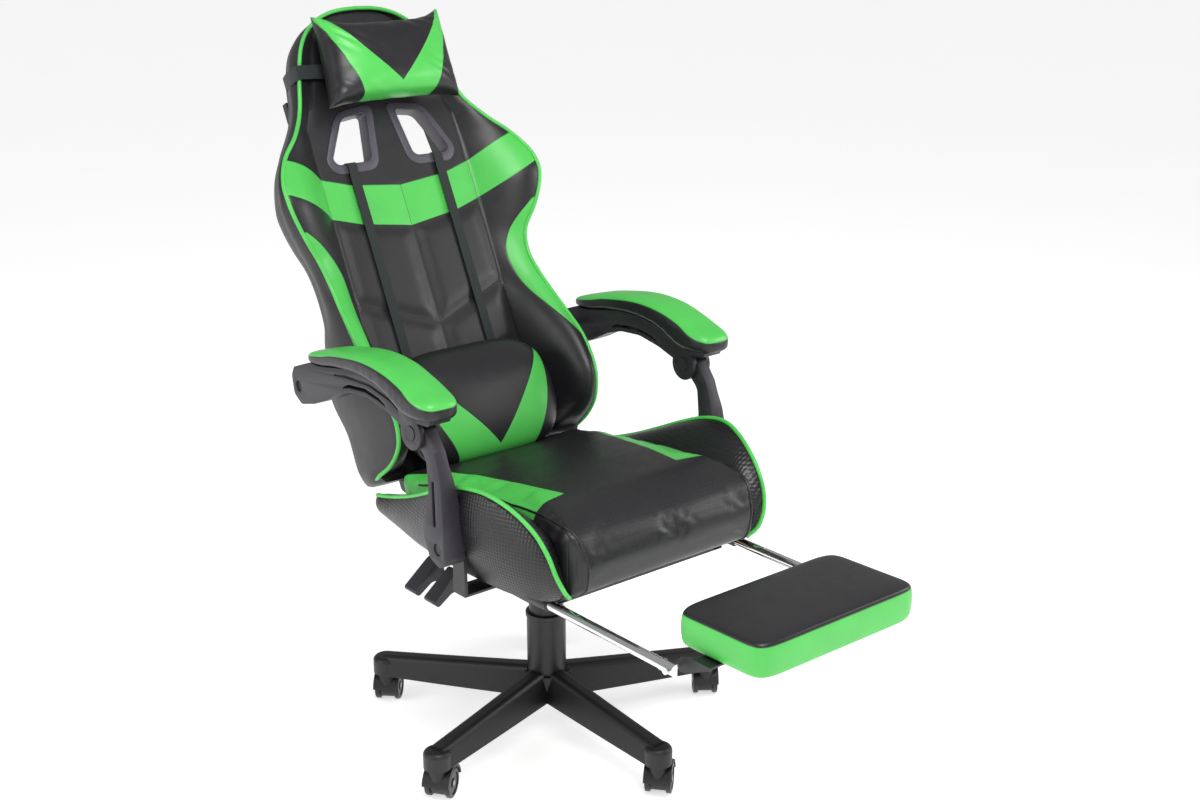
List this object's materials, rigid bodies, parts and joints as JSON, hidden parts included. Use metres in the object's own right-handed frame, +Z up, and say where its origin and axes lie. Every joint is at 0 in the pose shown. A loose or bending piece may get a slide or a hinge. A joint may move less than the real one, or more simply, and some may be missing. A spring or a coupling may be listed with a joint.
{
  "type": "gaming chair",
  "caption": "Bucket-style gaming chair with reclining back, linked armrests, gas lift, two pillows, pull-out footrest and castered star base.",
  "frame": {"origin": "on the floor, on the axis of the gas column", "axes": "+Z up, -Y the way the sitter faces, +X towards the sitter's left hand"},
  "size_m": [0.6562, 1.2874, 1.2031],
  "materials": {
    "black_nylon": "matte",
    "grey_bezel": "satin",
    "wheel_nylon": "satin",
    "zinc_steel": "satin",
    "black_steel": "satin",
    "plywood": "matte",
    "chrome": "polished",
    "black_leatherette": "satin",
    "textured_leatherette": "satin",
    "green_leatherette": "satin",
    "black_webbing": "matte"
  },
  "bodies": {
    "base": {"star_base": "black_nylon", "caster_stems": "zinc_steel", "gas_outer_tube": "black_steel", "column_cover_lower": "black_nylon"},
    "gas_rod": {"gas_rod": "zinc_steel"},
    "seat": {"gas_pressure_tube": "black_steel", "column_cover_upper": "black_nylon", "mechanism_housing": "black_steel", "mechanism_plate": "black_steel", "mechanism_bolts": "zinc_steel", "seat_frame": "black_steel", "seat_board": "plywood", "seat_cushion": "black_leatherette", "seat_wing_right": "textured_leatherette", "seat_wing_left": "textured_leatherette", "footrest_guides": "black_steel", "recline_pins": "zinc_steel", "arm_brackets": "black_steel", "arm_lower_bolts": "zinc_steel"},
    "height_lever": {"height_lever": "black_nylon"},
    "recline_lever": {"recline_lever": "black_nylon"},
    "back": {"back_frame": "black_steel", "back_cushion": "black_leatherette", "back_panel": "black_leatherette", "back_hinge_plates": "black_steel", "belt_bezel_right": "grey_bezel", "belt_bezel_left": "grey_bezel", "lumbar_straps": "black_webbing", "arm_rear_bolts": "zinc_steel"},
    "lumbar_pillow": {"lumbar_pillow": "black_leatherette"},
    "head_pillow": {"head_pillow": "black_leatherette", "head_strap": "black_webbing"},
    "footrest_slide": {"footrest_rods": "chrome", "footrest_screws": "chrome"},
    "footrest": {"footrest_bracket": "black_steel", "footrest_pad": "green_leatherette"},
    "arm_post_right": {"arm_post_right": "black_nylon"},
    "arm_beam_right": {"arm_beam_right": "black_nylon", "arm_pad_right": "green_leatherette", "arm_pivot_cap_right": "black_steel"},
    "arm_post_left": {"arm_post_left": "black_nylon"},
    "arm_beam_left": {"arm_beam_left": "black_nylon", "arm_pad_left": "green_leatherette", "arm_pivot_cap_left": "black_steel"},
    "caster_1": {"caster_hood_1": "black_nylon", "caster_axle_1": "zinc_steel"},
    "wheels_1": {"caster_wheels_1": "wheel_nylon"},
    "caster_2": {"caster_hood_2": "black_nylon", "caster_axle_2": "zinc_steel"},
    "wheels_2": {"caster_wheels_2": "wheel_nylon"},
    "caster_3": {"caster_hood_3": "black_nylon", "caster_axle_3": "zinc_steel"},
    "wheels_3": {"caster_wheels_3": "wheel_nylon"},
    "caster_4": {"caster_hood_4": "black_nylon", "caster_axle_4": "zinc_steel"},
    "wheels_4": {"caster_wheels_4": "wheel_nylon"},
    "caster_5": {"caster_hood_5": "black_nylon", "caster_axle_5": "zinc_steel"},
    "wheels_5": {"caster_wheels_5": "wheel_nylon"}
  },
  "joints": [
    {"name": "caster_1_swivel", "type": "hinge", "parent": "base", "child": "caster_1", "pos_m": [0.18694, 0.241, 0.05], "axis": [0, 0, 1], "continuous": true},
    {"name": "caster_1_roll", "type": "hinge", "parent": "caster_1", "child": "wheels_1", "pos_m": [0.19825, 0.25231, 0.025], "axis": [0.7071, -0.7071, 0], "continuous": true},
    {"name": "caster_2_swivel", "type": "hinge", "parent": "base", "child": "caster_2", "pos_m": [-0.17144, 0.25226, 0.05], "axis": [0, 0, 1], "continuous": true},
    {"name": "caster_2_roll", "type": "hinge", "parent": "caster_2", "child": "wheels_2", "pos_m": [-0.15993, 0.26337, 0.025], "axis": [0.6947, -0.7193, 0], "continuous": true},
    {"name": "caster_3_swivel", "type": "hinge", "parent": "base", "child": "caster_3", "pos_m": [-0.29289, -0.08509, 0.05], "axis": [0, 0, 1], "continuous": true},
    {"name": "caster_3_roll", "type": "hinge", "parent": "caster_3", "child": "wheels_3", "pos_m": [-0.27978, -0.07591, 0.025], "axis": [0.5736, -0.8192, 0], "continuous": true},
    {"name": "caster_4_swivel", "type": "hinge", "parent": "base", "child": "caster_4", "pos_m": [-0.00958, -0.30485, 0.05], "axis": [0, 0, 1], "continuous": true},
    {"name": "caster_4_roll", "type": "hinge", "parent": "caster_4", "child": "wheels_4", "pos_m": [0.00268, -0.29457, 0.025], "axis": [0.6428, -0.766, 0], "continuous": true},
    {"name": "caster_5_swivel", "type": "hinge", "parent": "base", "child": "caster_5", "pos_m": [0.28697, -0.10332, 0.05], "axis": [0, 0, 1], "continuous": true},
    {"name": "caster_5_roll", "type": "hinge", "parent": "caster_5", "child": "wheels_5", "pos_m": [0.29682, -0.09071, 0.025], "axis": [0.788, -0.6157, 0], "continuous": true},
    {"name": "seat_swivel", "type": "hinge", "parent": "base", "child": "gas_rod", "pos_m": [0, 0, 0.2], "axis": [0, 0, 1], "continuous": true},
    {"name": "gas_lift", "type": "slide", "parent": "gas_rod", "child": "seat", "axis": [0, 0, 1], "range_m": [-0.02, 0.08]},
    {"name": "height_lever_lift", "type": "hinge", "parent": "seat", "child": "height_lever", "pos_m": [-0.058, -0.042, 0.34], "axis": [0, 1, 0], "range_deg": [0, 6], "stiffness_Nm_per_rad": 3, "springref_deg": -6.88},
    {"name": "recline_lever_lift", "type": "hinge", "parent": "seat", "child": "recline_lever", "pos_m": [-0.058, 0.014, 0.34], "axis": [0, 1, 0], "range_deg": [0, 6], "stiffness_Nm_per_rad": 3, "springref_deg": -6.88},
    {"name": "back_recline", "type": "hinge", "parent": "seat", "child": "back", "pos_m": [0, 0.165, 0.412], "axis": [-1, 0, 0], "range_deg": [-12, 34]},
    {"name": "arm_post_right_pivot", "type": "hinge", "parent": "seat", "child": "arm_post_right", "pos_m": [-0.282, -0.117, 0.454], "axis": [-1, 0, 0], "range_deg": [-16, 42]},
    {"name": "arm_beam_right_pivot", "type": "hinge", "parent": "back", "child": "arm_beam_right", "pos_m": [-0.282, 0.279, 0.622], "axis": [-1, 0, 0], "range_deg": [-32, 12]},
    {"name": "arm_post_left_pivot", "type": "hinge", "parent": "seat", "child": "arm_post_left", "pos_m": [0.282, -0.117, 0.454], "axis": [-1, 0, 0], "range_deg": [-16, 42]},
    {"name": "arm_beam_left_pivot", "type": "hinge", "parent": "back", "child": "arm_beam_left", "pos_m": [0.282, 0.279, 0.622], "axis": [-1, 0, 0], "range_deg": [-32, 12]},
    {"name": "lumbar_pillow_slide", "type": "slide", "parent": "back", "child": "lumbar_pillow", "axis": [0, 0.4368, 0.8996], "range_m": [0, 0.08]},
    {"name": "head_pillow_slide", "type": "slide", "parent": "back", "child": "head_pillow", "axis": [0, 0.4368, 0.8996], "range_m": [-0.015, 0.015]},
    {"name": "footrest_pull", "type": "slide", "parent": "seat", "child": "footrest_slide", "axis": [0, 1, 0], "range_m": [0, 0.165]},
    {"name": "footrest_flip", "type": "hinge", "parent": "footrest_slide", "child": "footrest", "pos_m": [0, -0.536, 0.383], "axis": [1, 0, 0], "range_deg": [0, 180]}
  ],
  "couplings": [
    {"joint": "arm_post_right_pivot", "follows": "back_recline", "ratio": 1.1988},
    {"joint": "arm_beam_right_pivot", "follows": "back_recline", "ratio": -0.8962},
    {"joint": "arm_post_left_pivot", "follows": "back_recline", "ratio": 1.1988},
    {"joint": "arm_beam_left_pivot", "follows": "back_recline", "ratio": -0.8962}
  ]
}
